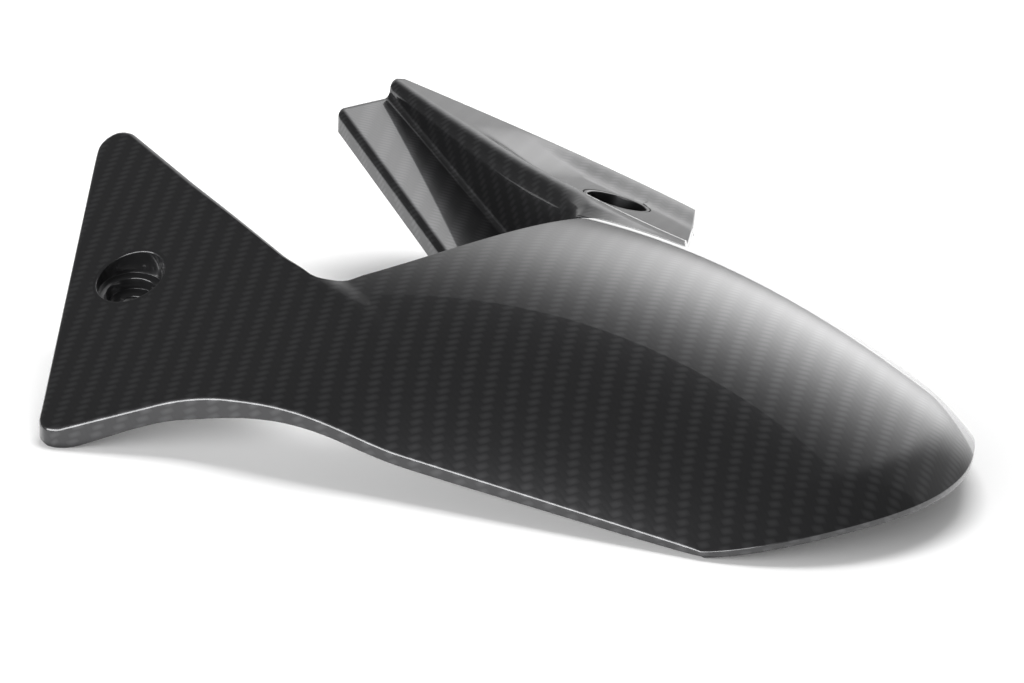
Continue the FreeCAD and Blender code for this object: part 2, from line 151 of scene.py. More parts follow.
def clothUv(x, y):  # millimetres along the crown and round the section, so the weave keeps its size
    r = sectionRadius(x)
    along = fender["crownRadius"] * np.arcsin((x - fender["crownX"]) / fender["crownRadius"])
    onArch = r * np.arcsin(np.clip(y / r, -1, 1))
    edge = fender["plateHalfWidth"]
    rPlate = sectionRadius(np.array(fender["plateX"]))
    onPlate = (y + edge) / np.cos(np.radians(fender["plateTilt"])) - rPlate * np.arcsin(edge / rPlate)
    share = plateShare(x, y)
    return np.stack([along, onArch * (1 - share) + onPlate * share], -1)


# outline in plan, as dense lines that are spread into even steps afterwards
plan = {
    "arcSteps": 60, "throughSteps": 90, "cornerSteps": 40, "nearSteps": 100, "seamSteps": 8,
    "skirtSteps": 200, "farSteps": 120, "rearSteps": 120, "seamShare": 0.96, "same": 1e-6,
}


def arcAbout(centre, radius, start, end, n):  # centre plus radius times cosine and sine of even turns
    a = np.linspace(start, end, n)
    return np.array(centre) + radius * np.stack([np.cos(a), np.sin(a)], -1)


def arcThrough(p, q, r):  # circle through three points, from the first to the last
    p, q, r = (np.array(v, float) for v in (p, q, r))
    m = 2 * np.array([q - p, r - p])
    centre = np.linalg.solve(m, [q @ q - p @ p, r @ r - p @ p])
    turns = np.unwrap([np.arctan2(*(v - centre)[::-1]) for v in (p, q, r)])
    return arcAbout(centre, np.linalg.norm(p - centre), turns[0], turns[2], plan["throughSteps"])


def roundCorner(before, corner, after, radius):  # arc that touches both sides of a corner
    back, on = unit(before - corner), unit(after - corner)
    half = np.arccos(np.clip(back @ on, -1, 1)) / 2
    centre = corner + unit(back + on) * radius / np.sin(half)
    ends = [corner + back * radius / np.tan(half), corner + on * radius / np.tan(half)]
    turns = np.unwrap([np.arctan2(*(e - centre)[::-1]) for e in ends])
    return arcAbout(centre, radius, turns[0], turns[1], plan["cornerSteps"])


def spread(points, n):  # n even steps along a dense line
    points = points[np.r_[True, np.linalg.norm(np.diff(points, axis=0), axis=1) > plan["same"]]]
    run = np.r_[0, np.cumsum(np.linalg.norm(np.diff(points, axis=0), axis=1))]
    at = np.linspace(0, run[-1], n + 1)
    return np.stack([np.interp(at, run, points[:, k]) for k in (0, 1)], -1)


def outlineSides():
    # straight sides and tangent arcs, in order: near edge, plate near, plate front, plate inner,
    # arch front, far edge where the section meets the floor, bowed rear edge
    f = fender
    leftTurn = np.arcsin((-f["rearHalfWidth"] - f["rearBowY"]) / f["rearRound"])
    rightTurn = np.radians(f["rearTurn"])
    rearArc = arcAbout(rearCentre, f["rearRound"], rightTurn, leftTurn, plan["rearSteps"])
    join, c = rearArc[0], rearArc[-1]
    waist, corner, apex, d = (np.array(f[k]) for k in ("waist", "corner", "apex", "rearRight"))
    waistArc = roundCorner(c, waist, corner, f["waistRound"])
    cornerArc = roundCorner(waist, corner, apex, f["cornerRound"])
    notch = apex + innerEdge * (f["notchX"] - apex[0]) / innerEdge[0]
    apexArc = roundCorner(corner, apex, notch, f["apexRound"])
    heading = np.arctan2(innerEdge[1], innerEdge[0]) - np.pi / 2
    notchCentre = notch - f["notchRound"] * np.array([np.cos(heading), np.sin(heading)])
    notchEnd = heading + np.radians(f["notchTurn"])
    notchArc = arcAbout(notchCentre, f["notchRound"], heading, notchEnd, plan["arcSteps"])
    frontArc = arcThrough(notchArc[-1], f["frontMiddle"], f["frontEnd"])
    skirtLine = np.linspace(frontArc[-1], f["skirt"], plan["skirtSteps"])
    skirtLine = skirtLine[skinHeight(skirtLine[:, 0], skirtLine[:, 1]) > 0]
    farX = np.linspace(skirtLine[-1, 0], d[0], plan["farSteps"])
    r = sectionRadius(farX)
    onFloor = np.sqrt(r ** 2 - (r - crownLine(farX)) ** 2)
    farY = np.minimum(onFloor, np.interp(farX, [f["skirt"][0], d[0]], [f["skirt"][1], d[1]]))
    farLine = np.stack([farX, farY], -1)
    farLine[0] = skirtLine[-1]
    chord = d - join
    bend = np.arctan2(chord[1], chord[0]) - rightTurn - np.pi / 2
    bendPoint = join + chord / 2 + np.array([chord[1], -chord[0]]) * np.tan(bend / 2) / 2
    rearLine = np.vstack([arcThrough(farLine[-1], bendPoint, join), rearArc])
    # the two patches meet here and at the middle of the notch
    seam = c + (waistArc[0] - c) * plan["seamShare"]
    half = len(cornerArc) // 2
    mid = len(notchArc) // 2
    return [
        np.linspace(c, seam, plan["nearSteps"]),
        np.vstack([np.linspace(seam, waistArc[0], plan["seamSteps"]), waistArc, cornerArc[:half + 1]]),
        np.vstack([cornerArc[half:], apexArc[:half + 1]]),
        np.vstack([apexArc[half:], notchArc[:mid + 1]]),
        np.vstack([notchArc[mid:], frontArc, skirtLine]),
        farLine,
        rearLine,
    ]


def blendSides(bottom, top, left, right):
    # Coons patch: both pairs of sides ruled and added, less the blend of the corners;
    # bottom and top run along i, left and right along j
    u = np.linspace(0, 1, len(bottom))[:, None, None]
    v = np.linspace(0, 1, len(left))[None, :, None]
    ruled = (1 - v) * bottom[:, None] + v * top[:, None] + (1 - u) * left[None] + u * right[None]
    low = (1 - u) * (1 - v) * bottom[0] + u * (1 - v) * bottom[-1]
    return ruled - (low + (1 - u) * v * top[0] + u * v * top[-1])


def gridFaces(rows, columns, first):  # quads of a grid stored row by row, its points numbered from first
    i, j = np.meshgrid(np.arange(rows - 1), np.arange(columns - 1), indexing="ij")
    a = first + (i * columns + j).ravel()
    return np.stack([a, a + columns, a + columns + 1, a + 1], -1)


def addMesh(name, grids, material):
    # grids: points rows x columns x 3 and uv rows x columns x 2, both in mm, and the faces to keep or None
    points, uvs, faces, count = [], [], [], 0
    for p, uv, keep in grids:
        quads = gridFaces(p.shape[0], p.shape[1], count)
        faces.append(quads if keep is None else quads[keep])
        points.append(p.reshape(-1, 3))
        uvs.append(uv.reshape(-1, 2))
        count += p.shape[0] * p.shape[1]
    used, corners = np.unique(np.vstack(faces), return_inverse=True)
    corners = corners.ravel()
    mesh = bpy.data.meshes.new(name)
    mesh.from_pydata((np.vstack(points)[used] + origin) / perMetre, [], corners.reshape(-1, 4))
    layer = mesh.uv_layers.new(name="cloth")
    cloth = np.vstack(uvs)[used][corners] / perMetre
    layer.data.foreach_set("uv", cloth.astype(np.float32).ravel())
    mesh.materials.append(material)
    b = bmesh.new()
    b.from_mesh(mesh)
    bmesh.ops.remove_doubles(b, verts=b.verts, dist=mergeAt)
    bmesh.ops.recalc_face_normals(b, faces=b.faces)
    b.to_mesh(mesh)
    b.free()
    mesh.polygons.foreach_set("use_smooth", np.ones(len(mesh.polygons), bool))
    obj = bpy.data.objects.new(name, mesh)
    bpy.context.scene.collection.objects.link(obj)
    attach(obj, "root")
    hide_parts("rear_fender")
    return obj


# shader maths: a socket that takes + - * / % and <
class Node:
    def __init__(self, tree, socket):
        self.tree, self.socket = tree, socket

    def output(self, name):  # another output of the same node
        return Node(self.tree, self.socket.node.outputs[name])

    def make(self, kind, settings=None, output=0, **inputs):
        # any node: its settings, then a value or link for each input, by name or as i0, i1 and so on
        node = self.tree.nodes.new(kind)
        for key, value in (settings or {}).items():
            setattr(node, key, value)
        for key, value in inputs.items():
            byNumber = key[0] == "i" and key[1:].isdigit()
            socket = node.inputs[int(key[1:]) if byNumber else key.replace("_", " ")]
            if isinstance(value, Node):
                self.tree.links.new(value.socket, socket)
            else:
                socket.default_value = value
        return Node(self.tree, node.outputs[output]) if node.outputs else None

    def mixColor(self, share, first, second):  # first at share 0, second at share 1
        colors = [c if isinstance(c, Node) else (*c, 1) for c in (first, second)]
        return self.make("ShaderNodeMix", {"data_type": "RGBA"}, 2, i0=share, i6=colors[0], i7=colors[1])

    def finish(self, owner, shader, kind="ShaderNodeOutputMaterial"):  # links the shader to an output
        self.make(kind, Surface=shader)
        return owner

    def math(self, operation, *values):  # a maths node on its values in order
        inputs = {"i%d" % k: v for k, v in enumerate(values)}
        return self.make("ShaderNodeMath", {"operation": operation}, **inputs)

    def __add__(self, other):
        return self.math("ADD", self, other)

    def __radd__(self, other):
        return self.math("ADD", other, self)

    def __sub__(self, other):
        return self.math("SUBTRACT", self, other)

    def __rsub__(self, other):
        return self.math("SUBTRACT", other, self)

    def __mul__(self, other):
        return self.math("MULTIPLY", self, other)

    def __rmul__(self, other):
        return self.math("MULTIPLY", other, self)

    def __truediv__(self, other):
        return self.math("DIVIDE", self, other)

    def __rtruediv__(self, other):
        return self.math("DIVIDE", other, self)

    def __mod__(self, other):
        return self.math("FLOORED_MODULO", self, other)

    def __rmod__(self, other):
        return self.math("FLOORED_MODULO", other, self)

    def __lt__(self, other):
        return self.math("LESS_THAN", self, other)

    def __gt__(self, other):
        return self.math("GREATER_THAN", self, other)

    def floor(self):
        return self.math("FLOOR", self)

    def hump(self):  # 0 at 0 and 1, 1 halfway: the sine of half a turn
        return self.math("SINE", self * np.pi)


def startMaterial(name):  # an empty material and a kit that makes its nodes
    material = bpy.data.materials.new(name)
    material.use_nodes = True
    material.node_tree.nodes.clear()
    return material, Node(material.node_tree, None)


carbon = {
    "across": (2.50, -0.95), "along": (1.42, 1.45), "repeat": 4.0, "float": 2.0,
    "towEnds": 0.35, "towRise": 0.65,
    # the lighter tow colour is painted sheen on the tows of one direction; the gap colour is painted shade
    # where the tows dive under
    "sheenTow": (0.078, 0.078, 0.081), "darkTow": (0.046, 0.046, 0.048), "gapShade": (0.044, 0.044, 0.046),
    "roughness": 0.32, "metallic": 0.8, "bump": 0.00004, "bumpStrength": 0.3,
    "coatRoughness": 0.02, "coatIor": 1.5,
}


def carbonMaterial():
    # twill under clear coat: cells are numbered along two tow directions, and one set of tows lies on top
    # where the sum of the numbers leaves 0 or 1 when divided by 4. Those cells get a lighter colour as
    # painted sheen, and each tow's colour darkens to the gap colour at its edges and float ends as painted
    # shade
    material, kit = startMaterial("carbonTwill")
    split = kit.make("ShaderNodeSeparateXYZ", Vector=kit.make("ShaderNodeUVMap", {"uv_map": "cloth"}))
    u, v = split, split.output("Y")
    inverse = np.linalg.inv(np.array([carbon["across"], carbon["along"]]).T / perMetre)
    a = u * inverse[0, 0] + v * inverse[0, 1]
    b = u * inverse[1, 0] + v * inverse[1, 1]
    i, j = a.floor(), b.floor()
    acrossA, acrossB = a - i, b - j
    phase = (i + j) % carbon["repeat"]
    over = phase < carbon["float"]

    def towHeight(across, run):  # round across the tow, lower at the ends of its float
        return across.hump() * (carbon["towEnds"] + carbon["towRise"] * (run / carbon["float"]).hump())

    highOver = towHeight(acrossA, phase + acrossB)
    highUnder = towHeight(acrossB, phase - carbon["float"] + acrossA)
    high = highOver * over + highUnder * (1.0 - over)
    # painted sheen: cells where the tows of one direction lie on top get the lighter colour, for the light
    # those fibres catch
    shade = kit.mixColor(over, carbon["darkTow"], carbon["sheenTow"])
    # painted shade: the colour darkens to the gap colour at each tow's edges and at the ends of its floats,
    # where it dives under
    color = kit.mixColor(high, carbon["gapShade"], shade)
    bump = kit.make("ShaderNodeBump", Height=high * carbon["bump"], Distance=1.0,
                    Strength=carbon["bumpStrength"])
    shader = kit.make("ShaderNodeBsdfPrincipled", Base_Color=color, Normal=bump,
                      Metallic=carbon["metallic"], Roughness=carbon["roughness"],
                      Coat_Weight=1.0, Coat_Roughness=carbon["coatRoughness"], Coat_IOR=carbon["coatIor"])
    return kit.finish(material, shader)


carbonTwill = carbonMaterial()
print("carbon material ready")

# bolt wells: stepped bores about a bolt axis, mouth on the surface they are sunk in
wells = {
    "left": (-226.0, -88.9), "leftLean": (11.3, -16.7), "right": (-166.0, 107.0),
    "mouth": 11.6, "mouthRound": 0.5, "mouthDepth": 7.0, "seat": 8.5, "seatDepth": 11.5,
    "bore": 4.25, "floorDepth": 14.0, "cup": 14.0, "cupBevel": 1.0, "cupTop": 0.5, "cupTuck": 0.6,
    "edge": 0.35, "hollow": 0.15, "rimWidth": 0.8, "rimLift": 0.03, "roundSteps": 8, "turnPoints": 145,
    "weaveSpot": (2.5, 0.5), "searchBand": 4.0, "snapShare": 0.75, "snapHeight": 3.0, "least": 1e-6,
}


def holeInGrid(points, spot, axis, square, radius):
    # moves grid points near the bore onto it, slides them back to the surface and drops the quads inside
    rel = points - spot
    flat = rel - (rel @ axis)[..., None] * axis
    dist = np.linalg.norm(flat, axis=-1)
    steps = np.linalg.norm(np.diff(points, axis=1), axis=-1)
    step = np.median(steps[np.abs(dist[:, 1:] - radius) < wells["searchBand"]])
    level = np.abs(rel @ square) < wells["snapHeight"]
    near = (np.abs(dist - radius) < step * wells["snapShare"]) & level
    shift = flat * ((radius / np.maximum(dist, wells["least"])) - 1)[..., None]
    shift = shift - ((shift @ square) / (axis @ square))[..., None] * axis
    moved = points + shift * near[..., None]
    inside = ((dist < radius) | near) & level
    drop = inside[:-1, :-1] & inside[1:, :-1] & inside[1:, 1:] & inside[:-1, 1:]
    return moved, ~drop.ravel()


def wellGrid(spot, axis, square):
    # stepped profile of radius and depth turned about the axis; its rim and foot follow the surface's plane
    w, r, e = wells, wells["mouthRound"], wells["edge"]
    a = np.linspace(0, np.pi / 2, w["roundSteps"])
    rim = [(w["mouth"] + r + w["rimWidth"], -w["rimLift"])]
    rim += list(zip(w["mouth"] + r - r * np.sin(a), r - r * np.cos(a)))
    hollow = w["hollow"] * (np.stack([np.sin(a), np.cos(a)], -1)[::-1] - 1)  # soft inner corners
    steps = [
        *(np.array([w["mouth"], w["mouthDepth"]]) + hollow),
        (w["seat"] + e, w["mouthDepth"]), (w["seat"], w["mouthDepth"] + e),
        *(np.array([w["seat"], w["seatDepth"]]) + hollow),
        (w["bore"] + e, w["seatDepth"]), (w["bore"], w["seatDepth"] + e),
        (w["bore"], w["floorDepth"] - e), (w["bore"] + e, w["floorDepth"]),
        (w["cup"] - w["cupBevel"], w["floorDepth"]), (w["cup"], w["floorDepth"] - w["cupBevel"]),
    ]
    foot = [(w["cup"], fender["wall"] * w["cupTop"])]
    profile = np.array(rim + steps + foot)
    onSurface = np.r_[np.ones(len(rim)), np.zeros(len(steps)), np.ones(len(foot))]
    first = unit(np.cross([0.0, 1.0, 0.0], axis))
    second = np.cross(axis, first)
    t = np.linspace(0, 2 * np.pi, w["turnPoints"])
    ring = np.cos(t)[:, None] * first + np.sin(t)[:, None] * second
    slide = -(ring @ square)[:, None] / (axis @ square) * profile[:, 0] * onSurface
    depth = profile[:, 1] - slide
    points = spot + ring[:, None] * profile[None, :, :1] - axis * depth[..., None]
    # plain dark lacquer inside: one spot of a dark tow
    uv = np.array(w["weaveSpot"]) @ np.array([carbon["across"], carbon["along"]])
    return points, np.broadcast_to(uv, (*points.shape[:2], 2))


# steps of the shell's grids, and how its lips begin, end and are rounded
shell = {
    "near": 150, "plate": 110, "seam": 60, "across": 120, "foldSteps": 8,
    "outRounds": 3, "rimRounds": 40, "lipStart": 1, "lipStartEase": 3, "lipEnd": 14, "lipEndEase": 6,
    "rimRound": 0.4, "rimBevel": 0.12, "outerRows": (0.33, 0.67, 1.0), "innerRows": (0.15, 0.5, 1.0),
}


def lipBottom(x, y):  # the skin less the lip: set heights along the low side, full depth elsewhere
    f = fender
    lowSide = (y < np.interp(x, f["lowSideX"], f["lowSideY"])) & (x > f["corner"][0])
    height = np.where(lowSide, np.interp(x, f["lipAt"], f["lipHeight"]), f["lipDepth"])
    return np.maximum(0, skinHeight(x, y) - height)


def archShell():
    # skin and underside as patches over the outline, joined by a strip: rings carried round the outline
    g, f = shell, fender
    counts = [g["near"], g["plate"], g["seam"], g["plate"], g["across"], g["near"], g["seam"] + g["across"]]
    sides = [spread(s, n) for s, n in zip(outlineSides(), counts)]
    starts = np.r_[0, np.cumsum(counts)]
    rim = np.vstack([s[:-1] for s in sides])
    run = unit(np.roll(rim, -1, 0) - np.roll(rim, 1, 0))
    for _ in range(g["outRounds"]):
        run = unit(run + 0.5 * (np.roll(run, 1, 0) + np.roll(run, -1, 0)))
    out = np.stack([-run[:, 1], run[:, 0]], -1)
    # lips along the left sides, none along the front, right and rear edges
    k = np.arange(len(rim))
    lip = ease(-g["lipEndEase"], g["lipEndEase"], starts[4] - g["lipEnd"] - k)
    lip = lip * ease(-g["lipStartEase"], g["lipStartEase"], k - g["lipStart"])
    radius = (f["edgeRadius"] + (f["foldRadius"] - f["edgeRadius"]) * lip)[:, None]
    x, y = rim.T
    top = np.column_stack([rim, skinHeight(x, y)])
    m = skinNormal(x, y)
    n = np.column_stack([out, np.zeros(len(rim))])
    centre = top - radius / (1 + np.sum(m * n, 1, keepdims=True)) * (m + n)
    skinRim = (centre + radius * m)[:, :2]
    inset = f["edgeRadius"] + (f["wall"] - f["edgeRadius"]) * lip
    innerRim = rim - inset[:, None] * out
    innerZ = underside(innerRim[:, 0], innerRim[:, 1])
    bottom = np.maximum(innerZ * (1 - lip) + np.minimum(innerZ, lipBottom(x, y)) * lip, 0)
    for _ in range(g["rimRounds"]):
        bottom = 0.5 * bottom + 0.25 * (np.roll(bottom, 1) + np.roll(bottom, -1))

    def patches(loop, height):  # arch and plate in plan, each point raised to the height there
        loop = np.vstack([loop, loop[:1]])
        side = [loop[a:b + 1] for a, b in zip(starts, starts[1:])]
        seam = np.linspace(side[0][-1], side[3][-1], g["seam"] + 1)
        arch = blendSides(side[0], side[5][::-1], side[6][::-1], np.vstack([seam, side[4][1:]]))
        plate = blendSides(side[1], side[3][::-1], seam, side[2])
        spots = [(p[..., 0], p[..., 1]) for p in (arch, plate)]
        return [(np.stack([*s, height(*s)], -1), clothUv(*s)) for s in spots]

    (archTop, archUv), (plateTop, plateUv) = patches(skinRim, skinHeight)
    (archLow, archLowUv), (plateLow, plateLowUv) = patches(innerRim, underside)
    # fold and lip: from the skin round the fold, down the outside, across the rim and up the inside
    rings = [np.column_stack([skinRim, skinHeight(*skinRim.T)])]
    for t in np.linspace(0, 1, g["foldSteps"] + 1)[1:]:
        rings.append(centre + radius * unit((1 - t) * m + t * n))
    foldZ = rings[-1][:, 2]
    wallFoot = np.minimum(foldZ, bottom + g["rimRound"])
    for t in g["outerRows"]:
        rings.append(np.column_stack([rim, foldZ * (1 - t) + wallFoot * t]))
    rings.append(np.column_stack([rim - g["rimBevel"] * out, bottom + g["rimBevel"]]))
    rings.append(np.column_stack([rim - g["rimRound"] * out, bottom]))
    rings.append(np.column_stack([innerRim + g["rimBevel"] * out, bottom]))
    for t in g["innerRows"]:
        rings.append(np.column_stack([innerRim, bottom * (1 - t) + innerZ * t]))
    strip = np.stack(rings)
    strip = np.concatenate([strip, strip[:, :1]], 1)
    gaps = np.linalg.norm(np.diff(strip, axis=0), axis=-1)
    walked = np.vstack([np.zeros(strip.shape[1]), np.cumsum(gaps, 0)])
    outward = np.vstack([out, out[:1]])
    stripUv = clothUv(strip[0, :, 0], strip[0, :, 1]) + walked[..., None] * outward
    left = np.array([*wells["left"], plateHeight(*wells["left"])])
    square = unit(np.array([slope(f["plateFall"]), -slope(f["plateTilt"]), 1.0]))
    lean = unit(np.append(slope(wells["leftLean"]), 1.0))
    cup = wells["cup"] - wells["cupTuck"]
    plateTop, keepTop = holeInGrid(plateTop, left, lean, square, wells["mouth"] + wells["mouthRound"])
    plateLow, keepLow = holeInGrid(plateLow, left - square * f["wall"], lean, square, cup)
    return [
        (archTop, archUv, None), (plateTop, plateUv, keepTop), (archLow, archLowUv, None),
        (plateLow, plateLowUv, keepLow), (strip, stripUv, None), (*wellGrid(left, lean, square), None),
    ]


archPiece = addMesh("archAndPlate", archShell(), carbonTwill)
print("arch and plate", len(archPiece.data.polygons), "faces")

# right arm: lip, ridge top, step wall, shelf and inner lip, carried along x
arm = {
    "front": -281.0, "crestY": 108.5, "crestZ": 70.9, "crestToe": 16.6,
    "crestFall": 0.215, "crestSweep": 0.00058,
    "crestRound": (4.0, 8.2), "crestWiden": (-281.0, -200.0), "ridgeWidth": 12.0,
    "flangeX": -146.0, "flangeY": 131.0, "flangeBow": 16.0, "flangeTilt": 0.2, "tail": (-97.0, 51.0),
    "stepHeight": 8.0, "shelfFall": 0.455, "shelfWidth": 31.0, "shelfSpread": 0.07, "shelfEnd": -187.0,
    "shelfRound": 3.4, "footRound": 3.2, "webEnd": -150.0, "webReach": 8.0, "footSink": 1.0,
    "edgeRound": 3.5, "leastRound": 0.3,
    "dishDepth": 4.0, "dishStart": (-236.0, -192.0), "dishRise": (0.10, 0.31), "dishFall": (0.72, 0.97),
    "cornerSteps": 8, "sideSteps": 30, "bandRows": 80, "ridgeRows": 140, "cutRows": 110,
    "ridgeOverrun": 90.0, "lipTuck": 0.4, "lipColumn": 2, "slopeReach": 0.5,
    "clothStretch": 1.04, "clothStart": 120.0,
}


def crest(x):  # straight in plan, toed inwards; a parabola in height
    run = x - arm["front"]
    side = arm["crestY"] - slope(arm["crestToe"]) * run
    return side, arm["crestZ"] - arm["crestFall"] * run + arm["crestSweep"] * run ** 2


def ridgeTop(x, y):  # falls evenly outwards from the crest
    side, height = crest(x)
    return height - arm["flangeTilt"] * (y - side)


def ridgeEdge(x):  # outer edge of the ridge, bowed between its corners as a parabola
    share = (x - arm["front"]) / (arm["flangeX"] - arm["front"])
    frontEdge = arm["crestY"] + arm["ridgeWidth"]
    return frontEdge + (arm["flangeY"] - frontEdge) * share + 4 * arm["flangeBow"] * share * (1 - share)


def ridgeCorners(x):  # outer lip foot, outer edge, crest and foot of the step wall, easing onto the arch
    side, height = crest(x)
    outer = ridgeEdge(x)
    top = ridgeTop(x, outer)
    shelf = arm["crestZ"] - arm["stepHeight"] - arm["shelfFall"] * (x - arm["front"])
    narrowed = ease(arm["shelfEnd"], arm["webEnd"], x)
    footSide = side - arm["webReach"] * narrowed
    foot = shelf * (1 - narrowed) + (archHeight(x, footSide) - arm["footSink"]) * narrowed
    return [(outer, top - fender["lipDepth"]), (outer, top), (side, height), (footSide, foot)]


def armCorners(x):  # the ridge's corners, then the shelf's inner edge and the foot of its lip
    corners = ridgeCorners(x)
    side, foot = corners[-1]
    inner = side - arm["shelfWidth"] - arm["shelfSpread"] * (x - arm["front"])
    return corners + [(inner, foot), (inner, foot - fender["lipDepth"])]


def roundedSection(corners, radii, deep):
    # section through the corners, one row per x: straight sides and arcs, moved inwards by deep
    c = [np.stack(np.broadcast_arrays(*p), -1) for p in corners]
    runs = [unit(q - p) for p, q in zip(c, c[1:])]
    square = [np.stack([-r[..., 1], r[..., 0]], -1) for r in runs]
    moved = [c[0] + square[0] * deep]
    for corner, s0, s1 in zip(c[1:], square, square[1:]):
        moved.append(corner + (s0 + s1) * deep / (1 + np.sum(s0 * s1, -1, keepdims=True)))
    moved.append(c[-1] + square[-1] * deep)
    section = []
    last = moved[0]
    for corner, before, on, radius in zip(moved[1:], runs, runs[1:], radii):
        turn = np.sign(before[..., :1] * on[..., 1:] - before[..., 1:] * on[..., :1])
        r = np.maximum(radius - deep * turn, arm["leastRound"])
        half = np.arccos(np.clip(np.sum(-before * on, -1, keepdims=True), -1, 1)) / 2
        start, end = corner - before * r / np.tan(half), corner + on * r / np.tan(half)
        middle = corner + unit(on - before) * r / np.sin(half)
        for t in np.linspace(0, 1, arm["sideSteps"], endpoint=False):
            section.append(last * (1 - t) + start * t)
        for t in np.linspace(0, 1, arm["cornerSteps"], endpoint=False):
            section.append(middle + r * unit((start - middle) * (1 - t) + (end - middle) * t))
        last = end
    for t in np.linspace(0, 1, arm["sideSteps"] + 1):
        section.append(last * (1 - t) + moved[-1] * t)
    return np.stack(section, -2)


def dishDepth(x, y):  # the ridge top is dished behind its crest, round the well
    side = crest(x)[0]
    share = (y - side) / (ridgeEdge(x) - side)
    across = ease(*arm["dishRise"], share) * (1 - ease(*arm["dishFall"], share))
    return arm["dishDepth"] * across * ease(*arm["dishStart"], x)


def bandGrid(xs, corners, radii):
    # closed band: outside, rim, inside, rim, less the dish; the crest's radius grows to the rear
    crestRadius = np.interp(xs, arm["crestWiden"], arm["crestRound"])[:, None]
    radii = [arm["edgeRound"], crestRadius] + radii
    outer = roundedSection(corners(xs), radii, 0.0)
    inner = roundedSection(corners(xs), radii, fender["wall"])
    section = np.concatenate([outer, inner[:, ::-1], outer[:, :1]], 1)
    x = np.broadcast_to(xs[:, None], section.shape[:2])
    return np.dstack([x, section[..., 0], section[..., 1] - dishDepth(x, section[..., 0])])


def bandUv(points):  # millimetres along x, stretched by the slope, and round the section
    gaps = np.linalg.norm(np.diff(points[..., 1:], axis=1), axis=-1)
    girth = np.concatenate([np.zeros((len(points), 1)), np.cumsum(gaps, 1)], 1)
    return np.dstack([points[..., 0] * arm["clothStretch"], arm["clothStart"] - girth])


def capGrid(section):  # closes a band's end: strips from the outside to the inside
    half = (section.shape[0] - 1) // 2
    outer, inner = section[:half], section[half:2 * half][::-1]
    return np.stack([outer, (outer + inner) / 2, inner], 0)


def cutRidge(ridge, corner, tail):
    # the ridge stops on a slanting line from corner to tail: each lengthwise line is cut where it crosses
    lineX = corner[0] + (ridge[..., 1] - corner[1]) * (tail[0] - corner[0]) / (tail[1] - corner[1])
    over = ridge[..., 0] - lineX
    columns = np.arange(ridge.shape[1])
    first = np.argmax(over > 0, 0)
    past, before = over[first, columns], over[first - 1, columns]
    pastX, beforeX = ridge[first, columns, 0], ridge[first - 1, columns, 0]
    endX = pastX - past / (past - before) * (pastX - beforeX)
    x = arm["shelfEnd"] + (endX[None] - arm["shelfEnd"]) * np.linspace(0, 1, arm["cutRows"])[:, None]
    onLine = lambda c: [np.interp(x[:, c], ridge[:, c, 0], ridge[:, c, k]) for k in (1, 2)]
    rest = np.array([onLine(c) for c in columns])
    return np.stack([x, rest[:, 0].T, rest[:, 1].T], -1)


def rightArm():
    # band with the shelf in front, ridge alone behind, a lip hung from the slanting end and the bolt well
    band = bandGrid(np.linspace(arm["front"], arm["shelfEnd"], arm["bandRows"]), armCorners,
                    [arm["footRound"], arm["shelfRound"]])
    ridgeX = np.linspace(arm["shelfEnd"], arm["flangeX"] + arm["ridgeOverrun"], arm["ridgeRows"])
    corner, tail = np.array([arm["flangeX"], arm["flangeY"]]), np.array(arm["tail"])
    cut = cutRidge(bandGrid(ridgeX, ridgeCorners, []), corner, tail)
    uv = bandUv(cut)
    # lip along the slanting edge
    topColumns = slice(arm["sideSteps"] + arm["lipColumn"], 2 * arm["sideSteps"] + 2 * arm["cornerSteps"])
    edge = cut[-1, topColumns]
    ahead = unit(np.array([tail[1] - corner[1], corner[0] - tail[0], 0.0]))
    ahead = ahead * np.sign(-ahead[0]) * fender["wall"]
    down = np.array([0, 0, -fender["lipDepth"]])
    tuck = np.array([0, 0, arm["lipTuck"]])
    lip = np.stack([edge, edge + down / 2, edge + down, edge + down + ahead, edge + ahead - tuck], 0)
    x, y = wells["right"]
    h = arm["slopeReach"]
    spot = np.array([x, y, ridgeTop(x, y) - dishDepth(x, y)])
    fall = (ridgeTop(x - h, y) - ridgeTop(x + h, y)) / (2 * h)
    square = unit(np.array([fall, arm["flangeTilt"], 1.0]))
    cup = wells["cup"] - wells["cupTuck"]
    cut, keepTop = holeInGrid(cut, spot, square, square, wells["mouth"] + wells["mouthRound"])
    cut, keepLow = holeInGrid(cut, spot - square * fender["wall"], square, square, cup)
    cap = capGrid(band[0])
    return [
        (band, bandUv(band), None), (cut, uv, keepTop & keepLow), (lip, lip[..., [0, 2]], None),
        (cap, cap[..., 1:], None), (*wellGrid(spot, square, square), None),
    ]


armPiece = addMesh("rightArm", rightArm(), carbonTwill)
print("right arm", len(armPiece.data.polygons), "faces")

# studio in metres: pale floor, a leaning white screen behind that fades towards its edges,
# a strip light in front, and a lamp above that the lacquer doesn't show
studio = {
    "screen": [(-1.8, 0.20, 0.83), (0.46, 0.20, 0.83), (1.4, 1.27, 0.0), (-1.8, 1.27, 0.0)],
    "screenStrength": 2.3, "screenTop": (0.83, 0.48, 0.26), "screenFoot": (0.0, 0.33, 0.4),
    "screenRight": (0.44, -0.08, 0.14), "screenLeft": (-0.75, -0.1, 0.22),
    "floor": [(-6, -6, 0), (6, -6, 0), (6, 6, 0), (-6, 6, 0)],
    "floorColor": 0.92, "floorGlow": 0.06, "worldColor": 0.1,
    "strip": (0.0, -1.55, 0.56), "stripSize": (2.6, 0.42), "stripRadiance": 10.0,
    "lamp": (-0.25, 0.55, 1.8), "lampSize": (1.2, 0.8), "lampPower": 24.0,
}


def gray(level):  # opaque, the same in red, green and blue
    return (level, level, level, 1)


def stagePiece(name, corners, material):  # one flat face through its corners
    mesh = bpy.data.meshes.new(name)
    mesh.from_pydata(corners, [], [tuple(range(len(corners)))])
    mesh.materials.append(material)
    obj = bpy.data.objects.new(name, mesh)
    bpy.context.scene.collection.objects.link(obj)
    return obj


